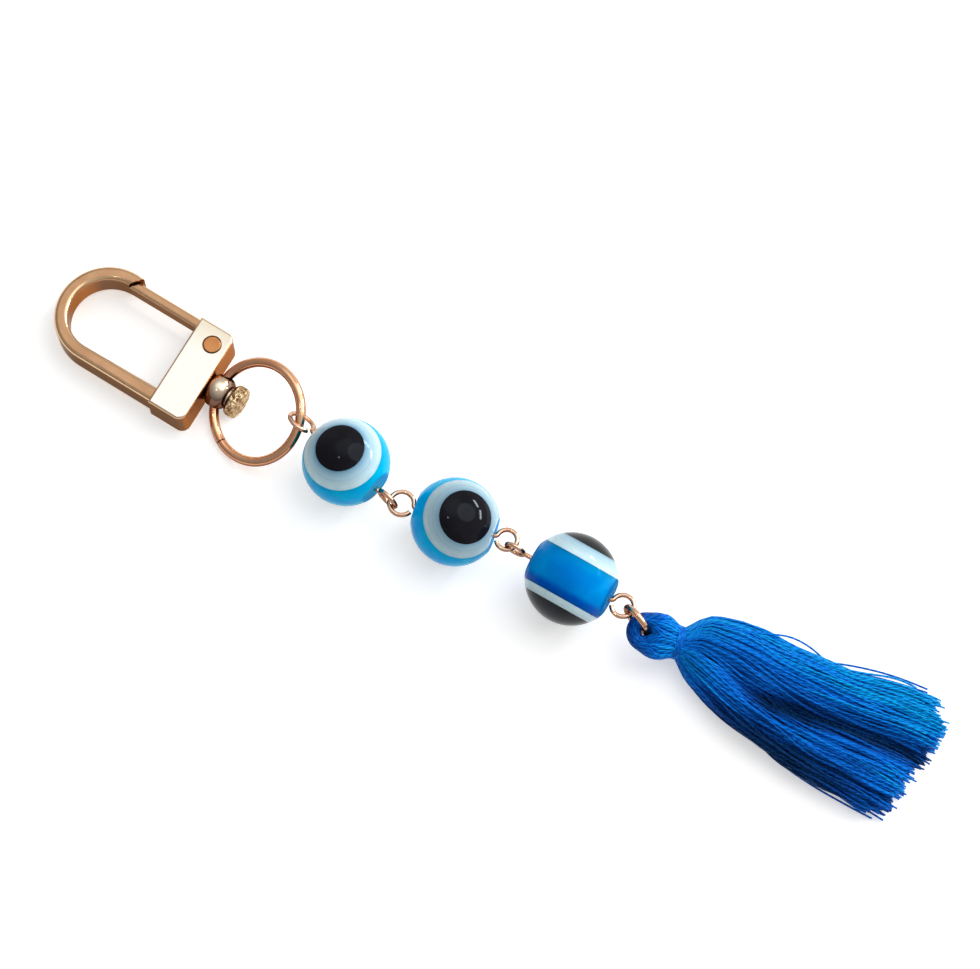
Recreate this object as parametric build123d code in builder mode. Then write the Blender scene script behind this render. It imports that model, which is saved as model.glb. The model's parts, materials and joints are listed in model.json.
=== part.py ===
from build123d import *
import os
from math import asin, atan2, cos, degrees, radians, sin, sqrt, tan

os.makedirs("parts", exist_ok=True)

# An evil eye ornament lying on a table: swivel snap hook, key ring, three layered
# eye beads on looped wire pins, jump ring and thread tassel, in millimetres.
# +X runs along the chain from the hook to the tassel and +Z points up.
# Yaw turns a piece about +Z, pitch lifts its far end.

# ---------------------------------------------------------------- clearances
RUNNING_FIT = 0.06          # radial clearance of a pin that turns in its hole
LINK_PLAY = 0.10            # gap between two wires that hang in each other
GATE_PLAY = 0.12            # gap around the gate in its slot and at the hook's tip
SEAT_GAP = 0.08             # end play of the swivel in the block
OVERSHOOT = 1               # how far a cut runs past the face that it opens

# ---------------------------------------------------------------- snap hook
HOOK_YAW = -3.5
BLOCK_LENGTH = 5.7
BLOCK_WIDTH = 14.3
BLOCK_HEIGHT = 5.0
BLOCK_CORNER = 1.3
BLOCK_SKEW = 3.5            # degrees that the cast block leans from square to the leg
SPOT_FACE_DEPTH = 0.12      # flat sunk in the block's rear face for the swivel
SPOT_FACE_MARGIN = 0.3
BLOCK_EDGE = 0.35
HOOK_HEIGHT = 4.2
HOOK_BAR = 1.95             # width of the hook's bar, seen from above
HOOK_ROOT_BAR = 2.5         # the same where the leg joins the block
HOOK_OUTER_RADIUS = 7.3
HOOK_REACH = 17.35          # block's rear face to the centre of the hook's arc
HOOK_OFFSET = 0.5           # arc's centre, towards the gate
HOOK_EDGE = 0.6
TIP_ANGLE_OUTER = 80        # where the slanted tip ends on the outside of the arc
TIP_ANGLE_INNER = 91        # and on the inside

# ---------------------------------------------------------------- gate
GATE_HEIGHT = 2.8
GATE_BAR = 1.35
GATE_EDGE = 0.4
GATE_HUB_RADIUS = 1.45
RIVET_BACK = 2.45           # rivet's axis, ahead of the block's rear face
RIVET_SIDE = 4.45           # and to the side of the swivel's axis
RIVET_RADIUS = 0.8
RIVET_HEAD_RADIUS = 1.25
RIVET_HEAD_DEPTH = 0.35
RIVET_HEAD_RISE = 0.12
RIVET_RECESS_PLAY = 0.1
RIVET_HEAD_EDGE = 0.2
SLOT_REAR_WALL = 0.85
SLOT_INNER_WALL = 0.6       # between the slot and the bore for the swivel's head
SPRING_WIRE = 0.3
SPRING_RADIUS = 1.15
SPRING_PITCH = 0.36
SPRING_TURNS = 2.25
SPRING_LEG = 2.2
SPRING_FOOT = 1.1           # shorter leg, which bears on the block
SPRING_SEAT = 0.05          # gap under the coil
SPRING_SPACE = 1.3          # height cut out of the gate's root for the spring

# ---------------------------------------------------------------- swivel
SWIVEL_RADIUS = 2.5
SWIVEL_POST_RADIUS = 1.0
SWIVEL_HEAD_RADIUS = 1.55
SWIVEL_HEAD_LENGTH = 0.8
SWIVEL_WALL = 1.2           # thickness of the block's wall that the post turns in
SWIVEL_BORE_PLAY = 0.25     # around the swivel's head
EYE_LENGTH = 3.1
EYE_SHOULDER_RADIUS = 1.7
EYE_HOLE_RADIUS = 1.15
GROOVE_LENGTH = 0.35
GROOVE_RADIUS = 1.5
KNOB_LENGTH = 1.75
KNOB_RADIUS = 2.3
KNOB_EDGE = 0.55

# ---------------------------------------------------------------- key ring
RING_RADIUS = 6.8           # centre line of the wire
RING_WIRE = 0.675
RING_JOINT = 1.5            # degrees left open at the butt joint
RING_JOINT_ANGLE = -118
RING_ROLL = 27              # roll of the swivel and its ring, one side down on the table
RING_TURN = 5               # turn of the ring from the hook's heading, in its loose hole
RING_LINK_ANGLE = 16        # where the first pin's loop hangs on the ring
RING_LINK_RISE = 0.46       # how far above that pin the ring's wire passes
RING_LINK_SLACK = 0.55      # from the middle of that loop to the middle of the ring's wire

# ---------------------------------------------------------------- beads
BEAD_RADIUS = [6.0, 6.0, 6.25]
BEAD_END_FLAT = 0.5         # depth ground off around each end of the hole
CORE_HALF = 2.9             # half thickness of the clear blue middle
WHITE_LAYER = 0.65
PIN_WIRE = 0.325            # radius of the pins' wire
BORE_RADIUS = PIN_WIRE + RUNNING_FIT
# per bead: roll of the eye about the pin and lean of the layers along it
EYE_ROLL = [4, 5, 106]
EYE_LEAN = [-6, 20, -1.5]
# per bead, front and back: where the pupil starts; hand-laid layers can be uneven
PUPIL_PLANES = [(5.0, 5.0), (4.8, 4.8), (3.95, 4.8)]

# ---------------------------------------------------------------- eye pins
PIN_BEND = 0.4              # bend between the stem and its loop
LOOP_TURN = 320
PIN_YAW = [-14, 9, 0]
# per pin, left then right: loop radius, roll of the loop from upright, bare stem
LOOPS = [
    [(1.8, 42, 0.7), (1.45, 0, 0.4)],
    [(1.65, 90, 0.1), (1.4, 90, 0.1)],
    [(1.3, 0, 1.1), (1.5, 90, 0.1)],
]
# direction of the pull at each link after a pin: a flat loop lets the wire slide round
LINK_BEARING = [50, -30, -11]

# ---------------------------------------------------------------- jump ring
JUMP_RADIUS = 2.0
JUMP_WIRE = 0.45
JUMP_YAW = -22
JUMP_PITCH = -20
JUMP_JOINT = 3
JUMP_JOINT_ANGLE = 60

# ---------------------------------------------------------------- tassel
TASSEL_TURN = 35            # turn of the tassel from the jump ring's heading
FOLD_RADIUS = 1.65          # centre line of the threads folded through the ring
FOLD_BUNDLE = 1.1           # radius of the folded bundle
HEAD_HALF_WIDTH = 3.1
HEAD_HALF_HEIGHT = 2.3
HEAD_START = 0.6
HEAD_START_MARGIN = 0.2     # how much the head's first section exceeds the folded bundles
HEAD_WIDEST = 1.7
NECK_START = 3.8
NECK_LENGTH = 1.2
NECK_RADIUS = 2.2
WRAP_THICKNESS = 0.5
WRAP_EDGE = 0.2
WRAP_END_GAP = 0.1          # between the wrap and the fuller threads on both sides
SKIRT_LENGTH = 34.8
# between the neck and the cut: distance, sideways shift, half width
SKIRT_SECTIONS = [(1.6, 0.9, 4.2), (5, 0.9, 5.5), (13, 0.3, 6.9), (21, 0.1, 7.8), (29, 0.9, 8.8)]
SKIRT_END = (1.1, 9.1)
SKIRT_HALF_HEIGHT = 2.4
SKIRT_LIFT = 0.3            # the loose threads bear on the table only here and there

UP = Vector(0, 0, 1)


def heading(yaw, pitch=0):
    """Unit vector that points along a yaw and a pitch."""
    level = cos(radians(pitch))
    return Vector(level * cos(radians(yaw)), level * sin(radians(yaw)), sin(radians(pitch)))


def lie_along(origin, direction, roll=0):
    """Plane whose x runs along direction, with z as near to up as the roll lets it."""
    side = UP.cross(direction).normalized()
    z_dir = direction.cross(side).rotate(Axis((0, 0, 0), direction), roll)
    return Plane(origin=origin, x_dir=direction, z_dir=z_dir)


def across(plane, distance=0):
    """Plane square to another plane's x axis, at a distance along it."""
    return Plane(plane.origin + plane.x_dir * distance, x_dir=plane.y_dir, z_dir=plane.x_dir)


def upright(plane):
    """Plane that holds another plane's x and z axes."""
    return Plane(plane.origin, x_dir=plane.x_dir, z_dir=-plane.y_dir)


def finish(builder, name):
    """Names a finished piece and keeps it for export."""
    builder.part.label = name
    pieces[name] = builder


pieces = {}

# ================================================================ layout
axis_height = BLOCK_HEIGHT / 2
hook_plane = lie_along(Vector(0, 0, axis_height), heading(HOOK_YAW))
eye_centre = SEAT_GAP + EYE_LENGTH / 2

# The ring's wire is bowed inside the straight hole, so it sits off the hole's axis
# by half of the bow.
hole_half = sqrt(SWIVEL_RADIUS**2 - EYE_HOLE_RADIUS**2)
ring_bow = RING_RADIUS - sqrt(RING_RADIUS**2 - hole_half**2)
ring_arm = RING_RADIUS - ring_bow / 2
swivel_plane = lie_along(hook_plane.origin, hook_plane.x_dir, RING_ROLL)
ring_hinge = swivel_plane.origin + swivel_plane.x_dir * eye_centre
# the ring is pitched so that its wire passes at that height where the first pin hangs
link_angle = RING_TURN + RING_LINK_ANGLE
link_along = ring_arm * cos(radians(RING_TURN)) + RING_RADIUS * cos(radians(link_angle))
link_aside = ring_arm * sin(radians(RING_TURN)) + RING_RADIUS * sin(radians(link_angle))
link_lift = BEAD_RADIUS[0] + RING_LINK_RISE - ring_hinge.Z
link_lift -= link_aside * swivel_plane.y_dir.Z
ring_pitch = degrees(asin(link_lift / (link_along * swivel_plane.z_dir.Z)))
ring_out = swivel_plane.x_dir.rotate(Axis((0, 0, 0), swivel_plane.y_dir), -ring_pitch)
ring_normal = ring_out.cross(swivel_plane.y_dir)
ring_out = ring_out.rotate(Axis((0, 0, 0), ring_normal), RING_TURN)
ring_plane = Plane(ring_hinge + ring_out * ring_arm, x_dir=ring_out, z_dir=ring_normal)
link_out = ring_plane.x_dir * cos(radians(RING_LINK_ANGLE))
link_out += ring_plane.y_dir * sin(radians(RING_LINK_ANGLE))
pin_hinges = [ring_plane.origin + link_out * RING_RADIUS]
pin_axes = [ring_plane.z_dir.cross(link_out)]


def loop_reach(radius):
    """Distance from the end of a pin's straight stem to the centre of its loop."""
    return sqrt(radius**2 + 2 * radius * PIN_BEND)


def loop_distance(pin, side):
    """Distance from the bead's centre to the centre of the loop on one side."""
    radius, _, stem = LOOPS[pin][side]
    return BEAD_RADIUS[pin] - BEAD_END_FLAT + stem + loop_reach(radius)


pin_planes = []
for i, yaw in enumerate(PIN_YAW):
    direction = heading(yaw)
    left_radius, left_roll, _ = LOOPS[i][0]
    slack = RING_LINK_SLACK if i == 0 else left_radius - 2 * PIN_WIRE - LINK_PLAY
    # each bead rests on the table, so a larger one lifts its pin within that slack
    rise = BEAD_RADIUS[i] - pin_hinges[i].Z
    pull = heading(LINK_BEARING[i - 1] if i > 0 and left_roll == 90 else yaw)
    left_centre = pin_hinges[i] + pull * sqrt(slack**2 - rise**2) + UP * rise
    bead_centre = left_centre + direction * loop_distance(i, 0)
    pin_planes.append(lie_along(bead_centre, direction))
    right_radius, right_roll, _ = LOOPS[i][1]
    contact = heading(yaw if right_roll == 0 else LINK_BEARING[i])
    pin_hinges.append(bead_centre + direction * loop_distance(i, 1) + contact * right_radius)
    next_yaw = (PIN_YAW + [JUMP_YAW])[i + 1]
    pin_axes.append(UP if right_roll == 0 else UP.cross(heading(next_yaw)))

jump_direction = heading(JUMP_YAW, JUMP_PITCH)
jump_pull = JUMP_RADIUS - JUMP_WIRE - PIN_WIRE - LINK_PLAY
jump_plane = lie_along(pin_hinges[3] + jump_direction * jump_pull, jump_direction)
tassel_hinge = jump_plane.origin + jump_direction * JUMP_RADIUS
tassel_axis = jump_plane.z_dir
tassel_direction = jump_direction.rotate(Axis((0, 0, 0), tassel_axis), TASSEL_TURN)
tassel_plane = Plane(tassel_hinge, x_dir=tassel_direction, z_dir=tassel_axis)

# ================================================================ hook body
inner_radius = HOOK_OUTER_RADIUS - HOOK_BAR
arc_centre = (-HOOK_REACH, HOOK_OFFSET)


def on_arc(radius, angle):
    """Point on a circle around the centre of the hook's arc."""
    return (
        arc_centre[0] + radius * cos(radians(angle)),
        arc_centre[1] + radius * sin(radians(angle)),
    )


tip_outer = on_arc(HOOK_OUTER_RADIUS, TIP_ANGLE_OUTER)
tip_inner = on_arc(inner_radius, TIP_ANGLE_INNER)
gate_inner_y = HOOK_OFFSET + inner_radius
gate_outer_y = gate_inner_y + GATE_BAR
bore_radius = SWIVEL_HEAD_RADIUS + SWIVEL_BORE_PLAY
slot_inner_y = bore_radius + SLOT_INNER_WALL
leg_root_outer = -BLOCK_WIDTH / 2 + BLOCK_EDGE
leg_root_inner = -BLOCK_WIDTH / 2 + HOOK_ROOT_BAR

with BuildPart() as hook_body:
    half_width = BLOCK_WIDTH / 2
    skew = tan(radians(BLOCK_SKEW))
    with BuildSketch(hook_plane) as block_outline:
        with BuildLine():
            Polyline(
                (SPOT_FACE_DEPTH - half_width * skew, half_width),
                (SPOT_FACE_DEPTH + half_width * skew, -half_width),
                (SPOT_FACE_DEPTH + half_width * skew - BLOCK_LENGTH, -half_width),
                (SPOT_FACE_DEPTH - half_width * skew - BLOCK_LENGTH, half_width),
                close=True,
            )
        make_face()
        fillet(block_outline.vertices().sort_by(Axis.X)[-2:], radius=BLOCK_CORNER)
    extrude(amount=BLOCK_HEIGHT / 2, both=True)
    rims = hook_body.faces().filter_by(Axis.Z).edges()
    fillet(rims, radius=BLOCK_EDGE)

    # the U-shaped hook, from the slanted tip round to the fixed leg
    with BuildSketch(hook_plane):
        with BuildLine():
            outer = CenterArc(arc_centre, HOOK_OUTER_RADIUS, TIP_ANGLE_OUTER, 270 - TIP_ANGLE_OUTER)
            inner = CenterArc(arc_centre, inner_radius, TIP_ANGLE_INNER, 270 - TIP_ANGLE_INNER)
            Line(outer @ 0, inner @ 0)
            Polyline(
                outer @ 1,
                (-BLOCK_LENGTH, leg_root_outer),
                (-BLOCK_LENGTH / 2, leg_root_outer),
                (-BLOCK_LENGTH / 2, leg_root_inner),
                (-BLOCK_LENGTH, leg_root_inner),
                inner @ 1,
            )
        make_face()
    extrude(amount=HOOK_HEIGHT / 2, both=True)
    hook_rims = hook_body.edges().filter_by(
        lambda e: abs(abs(e.center().Z - axis_height) - HOOK_HEIGHT / 2) < 1e-4
        and e.length > 4 * HOOK_BAR
    )
    fillet(hook_rims, radius=HOOK_EDGE)

    # slot for the gate, open to the front and to the side
    slot_length = BLOCK_LENGTH - SLOT_REAR_WALL
    slot_width = half_width - slot_inner_y + OVERSHOOT
    with BuildSketch(hook_plane):
        with Locations((-SLOT_REAR_WALL, slot_inner_y)):
            Rectangle(slot_length + OVERSHOOT, slot_width, align=(Align.MAX, Align.MIN))
    extrude(amount=GATE_HEIGHT / 2 + GATE_PLAY, both=True, mode=Mode.SUBTRACT)

    # bore for the swivel's head from the front, the hole that its post turns in, and
    # the flat that its eye turns on
    with BuildSketch(across(hook_plane, -BLOCK_LENGTH - OVERSHOOT)):
        Circle(bore_radius)
    extrude(amount=BLOCK_LENGTH + OVERSHOOT - SWIVEL_WALL, mode=Mode.SUBTRACT)
    with BuildSketch(across(hook_plane, -SWIVEL_WALL)):
        Circle(SWIVEL_POST_RADIUS + RUNNING_FIT)
    extrude(amount=SWIVEL_WALL + OVERSHOOT, mode=Mode.SUBTRACT)
    with BuildSketch(across(hook_plane)):
        Circle(EYE_SHOULDER_RADIUS + SPOT_FACE_MARGIN)
    extrude(amount=OVERSHOOT, mode=Mode.SUBTRACT)

    # rivet hole with a shallow recess for its head
    with BuildSketch(hook_plane):
        with Locations((-RIVET_BACK, RIVET_SIDE)):
            Circle(RIVET_RADIUS)
    extrude(amount=BLOCK_HEIGHT, both=True, mode=Mode.SUBTRACT)
    with BuildSketch(hook_plane.offset(BLOCK_HEIGHT / 2 - RIVET_HEAD_DEPTH)):
        with Locations((-RIVET_BACK, RIVET_SIDE)):
            Circle(RIVET_HEAD_RADIUS + RIVET_RECESS_PLAY)
    extrude(amount=OVERSHOOT, mode=Mode.SUBTRACT)
finish(hook_body, "hook_body")

# ================================================================ rivet
with BuildPart() as gate_rivet:
    with BuildSketch(hook_plane.offset(-BLOCK_HEIGHT / 2)):
        with Locations((-RIVET_BACK, RIVET_SIDE)):
            Circle(RIVET_RADIUS)
    extrude(amount=BLOCK_HEIGHT - RIVET_HEAD_DEPTH)
    with BuildSketch(hook_plane.offset(BLOCK_HEIGHT / 2 - RIVET_HEAD_DEPTH)):
        with Locations((-RIVET_BACK, RIVET_SIDE)):
            Circle(RIVET_HEAD_RADIUS)
    extrude(amount=RIVET_HEAD_DEPTH + RIVET_HEAD_RISE)
    fillet(gate_rivet.faces().sort_by(Axis.Z)[-1].edges(), radius=RIVET_HEAD_EDGE)
finish(gate_rivet, "gate_rivet")

# ================================================================ gate
# The gate's end is slanted like the hook's tip and lies inside it.
slant = atan2(tip_outer[1] - tip_inner[1], tip_outer[0] - tip_inner[0])
tip_start_x = tip_inner[0] + GATE_PLAY / sin(slant)
tip_end_x = tip_start_x + GATE_BAR * cos(slant) / sin(slant)

with BuildPart() as gate_lever:
    with BuildSketch(hook_plane):
        with BuildLine():
            Polyline(
                (tip_start_x, gate_inner_y - GATE_PLAY),
                (tip_end_x, gate_outer_y - GATE_PLAY),
                (-RIVET_BACK + GATE_HUB_RADIUS, gate_outer_y - GATE_PLAY),
                (-RIVET_BACK + GATE_HUB_RADIUS, RIVET_SIDE),
                (-RIVET_BACK - GATE_HUB_RADIUS, RIVET_SIDE),
                (-RIVET_BACK - GATE_HUB_RADIUS, gate_inner_y - GATE_PLAY),
                close=True,
            )
        make_face()
        with Locations((-RIVET_BACK, RIVET_SIDE)):
            Circle(GATE_HUB_RADIUS)
    extrude(amount=GATE_HEIGHT / 2, both=True)
    gate_rims = gate_lever.edges().filter_by(
        lambda e: abs(abs(e.center().Z - axis_height) - GATE_HEIGHT / 2) < 1e-4
        and e.length > 4 * GATE_BAR
    )
    fillet(gate_rims, radius=GATE_EDGE)
    with BuildSketch(hook_plane):
        with Locations((-RIVET_BACK, RIVET_SIDE)):
            Circle(RIVET_RADIUS + RUNNING_FIT)
    extrude(amount=GATE_HEIGHT, both=True, mode=Mode.SUBTRACT)
    # room for the spring under the hub, and for its leg along the bar
    with BuildSketch(hook_plane.offset(-GATE_HEIGHT / 2)):
        with Locations((-RIVET_BACK, RIVET_SIDE)):
            Circle(SPRING_RADIUS + 2 * SPRING_WIRE)
        with Locations((-RIVET_BACK, RIVET_SIDE)):
            Rectangle(
                SPRING_LEG + 2 * SPRING_WIRE,
                SPRING_RADIUS + 1.5 * SPRING_WIRE,
                align=(Align.MAX, Align.MIN),
            )
    extrude(amount=SPRING_SPACE, mode=Mode.SUBTRACT)
finish(gate_lever, "gate_lever")

# ================================================================ gate spring
spring_base = hook_plane.offset(-GATE_HEIGHT / 2 - GATE_PLAY + SPRING_WIRE / 2 + SPRING_SEAT)
spring_origin = spring_base.from_local_coords(Vector(-RIVET_BACK, RIVET_SIDE, 0))
spring_plane = Plane(spring_origin, x_dir=-hook_plane.y_dir, z_dir=UP)
spring_height = SPRING_PITCH * SPRING_TURNS

with BuildPart() as gate_spring:
    with BuildLine(spring_plane):
        coil = Helix(SPRING_PITCH, spring_height, SPRING_RADIUS)
    with BuildSketch(Plane(coil @ 0, z_dir=coil % 0)):
        Circle(SPRING_WIRE / 2)
    sweep(path=coil, is_frenet=True)
    for end, outward, leg in ((0, -1, SPRING_FOOT), (1, 1, SPRING_LEG)):
        with BuildSketch(Plane(coil @ end, z_dir=(coil % end) * outward)):
            Circle(SPRING_WIRE / 2)
        extrude(amount=leg)
finish(gate_spring, "gate_spring")

# ================================================================ swivel eye
eye_start = SEAT_GAP
eye_end = eye_start + EYE_LENGTH
knob_start = eye_end + GROOVE_LENGTH
knob_end = knob_start + KNOB_LENGTH
head_end = -SWIVEL_WALL - SEAT_GAP
head_start = head_end - SWIVEL_HEAD_LENGTH

with BuildPart() as swivel_eye:
    with BuildSketch(hook_plane):
        with BuildLine():
            Polyline(
                (eye_start, EYE_SHOULDER_RADIUS),
                (eye_start, SWIVEL_POST_RADIUS),
                (head_end, SWIVEL_POST_RADIUS),
                (head_end, SWIVEL_HEAD_RADIUS),
                (head_start, SWIVEL_HEAD_RADIUS),
                (head_start, 0),
                (knob_end, 0),
                (knob_end, KNOB_RADIUS),
                (knob_start, KNOB_RADIUS),
                (knob_start, GROOVE_RADIUS),
                (eye_end, GROOVE_RADIUS),
                (eye_end, EYE_SHOULDER_RADIUS),
            )
            ThreePointArc(
                (eye_start, EYE_SHOULDER_RADIUS),
                (eye_centre, SWIVEL_RADIUS),
                (eye_end, EYE_SHOULDER_RADIUS),
            )
        make_face()
    revolve(axis=Axis(hook_plane.origin, hook_plane.x_dir))
    knob_rims = swivel_eye.edges().filter_by(
        lambda e: e.geom_type == GeomType.CIRCLE and abs(e.radius - KNOB_RADIUS) < 1e-4
    )
    fillet(knob_rims, radius=KNOB_EDGE)
    with BuildSketch(Plane(ring_hinge, x_dir=swivel_plane.x_dir, z_dir=swivel_plane.y_dir)):
        Circle(EYE_HOLE_RADIUS)
    extrude(amount=SWIVEL_RADIUS + OVERSHOOT, both=True, mode=Mode.SUBTRACT)
finish(swivel_eye, "swivel_eye")


# ================================================================ rings
def wire_ring(plane, radius, wire, joint, joint_angle):
    """Round ring of bent wire with a butt joint, lying in a plane."""
    with BuildPart() as ring:
        start = joint_angle + joint / 2
        out = plane.x_dir.rotate(Axis((0, 0, 0), plane.z_dir), start)
        with BuildSketch(Plane(plane.origin + out * radius, x_dir=out, z_dir=plane.z_dir.cross(out))):
            Circle(wire)
        revolve(axis=Axis(plane.origin, plane.z_dir), revolution_arc=360 - joint)
    return ring


key_ring = wire_ring(ring_plane, RING_RADIUS, RING_WIRE, RING_JOINT, RING_JOINT_ANGLE)
finish(key_ring, "key_ring")

jump_ring = wire_ring(upright(jump_plane), JUMP_RADIUS, JUMP_WIRE, JUMP_JOINT, JUMP_JOINT_ANGLE)
finish(jump_ring, "jump_ring")

# ================================================================ eye pins
for i, plane in enumerate(pin_planes):
    with BuildPart() as eye_pin:
        for side, outward in ((0, -1), (1, 1)):
            radius, roll, stem = LOOPS[i][side]
            # a loop's plane holds the pin; roll leans its top towards the -y side
            loop_normal = (-plane.y_dir * outward).rotate(Axis((0, 0, 0), plane.x_dir), roll)
            loop_plane = Plane(plane.origin, x_dir=plane.x_dir * outward, z_dir=loop_normal)
            stem_end = BEAD_RADIUS[i] - BEAD_END_FLAT + stem
            centre = stem_end + loop_reach(radius)
            lead = degrees(atan2(PIN_BEND, loop_reach(radius)))
            with BuildLine(loop_plane):
                Line((0, 0), (stem_end, 0))
                CenterArc((stem_end, -PIN_BEND), PIN_BEND, 90, lead - 90)
                CenterArc((centre, 0), radius, 180 + lead, LOOP_TURN)
            with BuildSketch(across(loop_plane)):
                Circle(PIN_WIRE)
            sweep()
    finish(eye_pin, f"eye_pin_{i + 1}")

# ================================================================ beads
for i, plane in enumerate(pin_planes):
    # the eye looks along eye_plane's z axis and the layers lie square to it
    eye_plane = lie_along(plane.origin, plane.x_dir, EYE_ROLL[i])
    eye_dir = eye_plane.z_dir.rotate(Axis((0, 0, 0), eye_plane.y_dir), EYE_LEAN[i])
    x_dir = eye_plane.x_dir.rotate(Axis((0, 0, 0), eye_plane.y_dir), EYE_LEAN[i])
    profile_plane = Plane(plane.origin, x_dir=x_dir, z_dir=x_dir.cross(eye_dir))
    radius = BEAD_RADIUS[i]
    white_top = CORE_HALF + WHITE_LAYER
    front_pupil, back_pupil = PUPIL_PLANES[i]
    layers = {
        "core": [(-CORE_HALF, CORE_HALF)],
        "white_layers": [(CORE_HALF, white_top), (-white_top, -CORE_HALF)],
        "pale_layers": [(white_top, front_pupil), (-back_pupil, -white_top)],
        "pupils": [(front_pupil, radius), (-radius, -back_pupil)],
    }
    for layer, bands in layers.items():
        with BuildPart() as bead_layer:
            with BuildSketch(profile_plane):
                for low, high in bands:
                    with BuildLine():
                        low_angle = degrees(asin(low / radius))
                        high_angle = degrees(asin(high / radius))
                        rim = CenterArc((0, 0), radius, low_angle, high_angle - low_angle)
                        corners = [(0, level) for level in (high, low) if abs(level) < radius]
                        Polyline(rim @ 1, *corners, rim @ 0)
                    make_face()
            revolve(axis=Axis(plane.origin, eye_dir))
            with BuildSketch(across(plane)):
                Circle(2 * radius)
                if layer == "core":
                    Circle(BORE_RADIUS, mode=Mode.SUBTRACT)
            extrude(amount=radius - BEAD_END_FLAT, both=True, mode=Mode.INTERSECT)
        finish(bead_layer, f"bead_{i + 1}_{layer}")

# ================================================================ tassel
with BuildPart() as tassel_head:
    fold_start = Plane(
        tassel_hinge + tassel_plane.y_dir * FOLD_RADIUS,
        x_dir=tassel_plane.y_dir,
        z_dir=-tassel_plane.x_dir,
    )
    with BuildSketch(fold_start):
        Circle(FOLD_BUNDLE)
    revolve(axis=Axis(tassel_hinge, tassel_axis), revolution_arc=180)
    with BuildSketch(across(tassel_plane)):
        with Locations((FOLD_RADIUS, 0), (-FOLD_RADIUS, 0)):
            Circle(FOLD_BUNDLE)
    extrude(amount=HEAD_WIDEST)
    head_sections = [
        (HEAD_START, FOLD_RADIUS + FOLD_BUNDLE, FOLD_BUNDLE + HEAD_START_MARGIN),
        (HEAD_WIDEST, HEAD_HALF_WIDTH, HEAD_HALF_HEIGHT),
        (NECK_START, NECK_RADIUS + WRAP_THICKNESS / 2, NECK_RADIUS),
    ]
    for distance, half_width, half_height in head_sections:
        with BuildSketch(across(tassel_plane, distance)):
            Ellipse(half_width, half_height)
    loft()
    with BuildSketch(across(tassel_plane, NECK_START)):
        Circle(NECK_RADIUS)
    extrude(amount=NECK_LENGTH)
finish(tassel_head, "tassel_head")

with BuildPart() as tassel_neck_wrap:
    with BuildSketch(across(tassel_plane, NECK_START + WRAP_END_GAP)):
        Circle(NECK_RADIUS + WRAP_THICKNESS)
        Circle(NECK_RADIUS, mode=Mode.SUBTRACT)
    extrude(amount=NECK_LENGTH - 2 * WRAP_END_GAP)
    wrap_rims = tassel_neck_wrap.edges().filter_by(
        lambda e: e.geom_type == GeomType.CIRCLE and e.radius > NECK_RADIUS + WRAP_THICKNESS / 2
    )
    fillet(wrap_rims, radius=WRAP_EDGE)
finish(tassel_neck_wrap, "tassel_neck_wrap")

neck_end = tassel_hinge + tassel_direction * (NECK_START + NECK_LENGTH)
with BuildPart() as tassel_skirt:
    with BuildSketch(across(tassel_plane, NECK_START + NECK_LENGTH)):
        Circle(NECK_RADIUS)
    for distance, shift, half_width in SKIRT_SECTIONS + [(SKIRT_LENGTH, *SKIRT_END)]:
        centre = Vector(neck_end.X + distance, neck_end.Y + shift, SKIRT_HALF_HEIGHT + SKIRT_LIFT)
        with BuildSketch(Plane(centre, x_dir=(0, 1, 0), z_dir=(1, 0, 0))):
            Ellipse(half_width, SKIRT_HALF_HEIGHT)
    loft()
finish(tassel_skirt, "tassel_skirt")

# ================================================================ export
# The origin goes on the table under the middle of the whole ornament.
boxes = [builder.part.bounding_box() for builder in pieces.values()]
middle_x = (min(box.min.X for box in boxes) + max(box.max.X for box in boxes)) / 2
middle_y = (min(box.min.Y for box in boxes) + max(box.max.Y for box in boxes)) / 2
home = Location((-middle_x, -middle_y, -min(box.min.Z for box in boxes)))
for name, builder in pieces.items():
    placed = builder.part.moved(home)
    placed.label = name
    export_step(placed, f"parts/{name}.step")
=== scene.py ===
"""Evil eye bag charm: gold swivel hook, key ring, three eye beads and a thread tassel."""
import json
import math

import bpy
import numpy as np
from mathutils import Matrix, Vector

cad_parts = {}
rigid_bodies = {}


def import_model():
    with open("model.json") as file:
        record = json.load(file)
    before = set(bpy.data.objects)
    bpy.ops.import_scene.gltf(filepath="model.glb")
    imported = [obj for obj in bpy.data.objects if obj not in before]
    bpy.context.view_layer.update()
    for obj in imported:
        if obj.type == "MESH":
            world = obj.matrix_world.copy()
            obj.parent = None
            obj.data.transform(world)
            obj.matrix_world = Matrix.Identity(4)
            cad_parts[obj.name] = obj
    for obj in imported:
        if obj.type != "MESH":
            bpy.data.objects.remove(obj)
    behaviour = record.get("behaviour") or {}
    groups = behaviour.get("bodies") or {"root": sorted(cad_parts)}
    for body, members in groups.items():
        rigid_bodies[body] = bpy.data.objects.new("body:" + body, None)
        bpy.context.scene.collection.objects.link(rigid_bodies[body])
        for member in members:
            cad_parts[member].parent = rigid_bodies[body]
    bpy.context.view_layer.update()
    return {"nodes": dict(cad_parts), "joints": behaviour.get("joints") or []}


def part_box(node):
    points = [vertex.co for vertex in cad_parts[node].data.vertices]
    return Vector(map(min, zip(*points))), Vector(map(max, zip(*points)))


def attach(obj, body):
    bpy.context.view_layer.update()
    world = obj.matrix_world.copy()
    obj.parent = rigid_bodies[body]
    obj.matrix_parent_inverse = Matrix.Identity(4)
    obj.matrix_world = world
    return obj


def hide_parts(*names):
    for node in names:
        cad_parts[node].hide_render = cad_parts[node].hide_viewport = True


MM = 0.001
UP = Vector((0, 0, 1))

for leftover in list(bpy.data.objects):
    bpy.data.objects.remove(leftover, do_unlink=True)

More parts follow.
